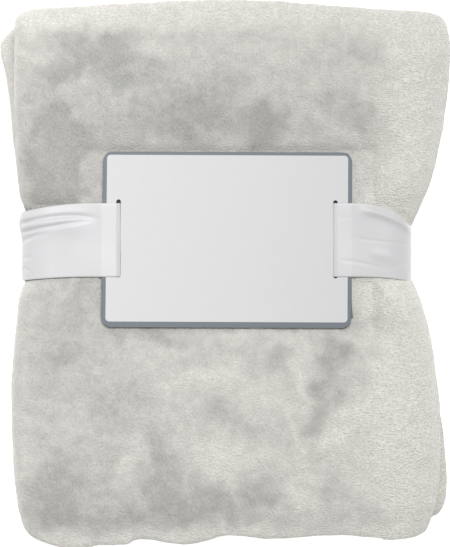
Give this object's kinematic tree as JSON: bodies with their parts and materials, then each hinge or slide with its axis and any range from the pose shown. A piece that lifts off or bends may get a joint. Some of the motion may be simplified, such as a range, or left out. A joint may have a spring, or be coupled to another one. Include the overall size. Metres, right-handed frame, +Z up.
{
  "type": "folded throw blanket",
  "caption": "Folded ivory fleece throw blanket, tied at the waist with a white satin ribbon that threads through a blank card.",
  "frame": {"origin": "middle of the underside, on the surface that the folded throw lies on", "axes": "+Z up through the card's face, +Y along the throw's long side to its upper end, +X to the right"},
  "size_m": [0.2656, 0.3229, 0.066],
  "materials": {
    "ivory_fleece": "matte",
    "white_satin": "satin",
    "white_thread": "matte",
    "white_card": "matte"
  },
  "bodies": {
    "throw": {"throw_base_third": "ivory_fleece", "throw_middle_third": "ivory_fleece", "throw_top_third": "ivory_fleece", "throw_left_fold": "ivory_fleece", "throw_right_fold": "ivory_fleece", "care_label": "white_satin"},
    "band": {"ribbon_front_left": "white_satin", "ribbon_front_right": "white_satin", "ribbon_left_side": "white_satin", "ribbon_right_side": "white_satin", "ribbon_behind_card": "white_satin", "ribbon_underside": "white_satin", "ribbon_lap": "white_satin", "ribbon_seam": "white_thread"},
    "card": {"message_card": "white_card", "backing_card": "white_card"}
  },
  "joints": [
    {"name": "band_slide", "type": "slide", "parent": "throw", "child": "band", "axis": [0, 1, 0], "range_m": [-0.236, 0.2], "deforming": ["throw_base_third", "throw_middle_third", "throw_top_third", "throw_left_fold", "throw_right_fold"]},
    {"name": "card_slide", "type": "slide", "parent": "band", "child": "card", "axis": [1, 0, 0], "range_m": [-0.012, 0.012], "deforming": ["ribbon_front_left", "ribbon_front_right"]}
  ]
}
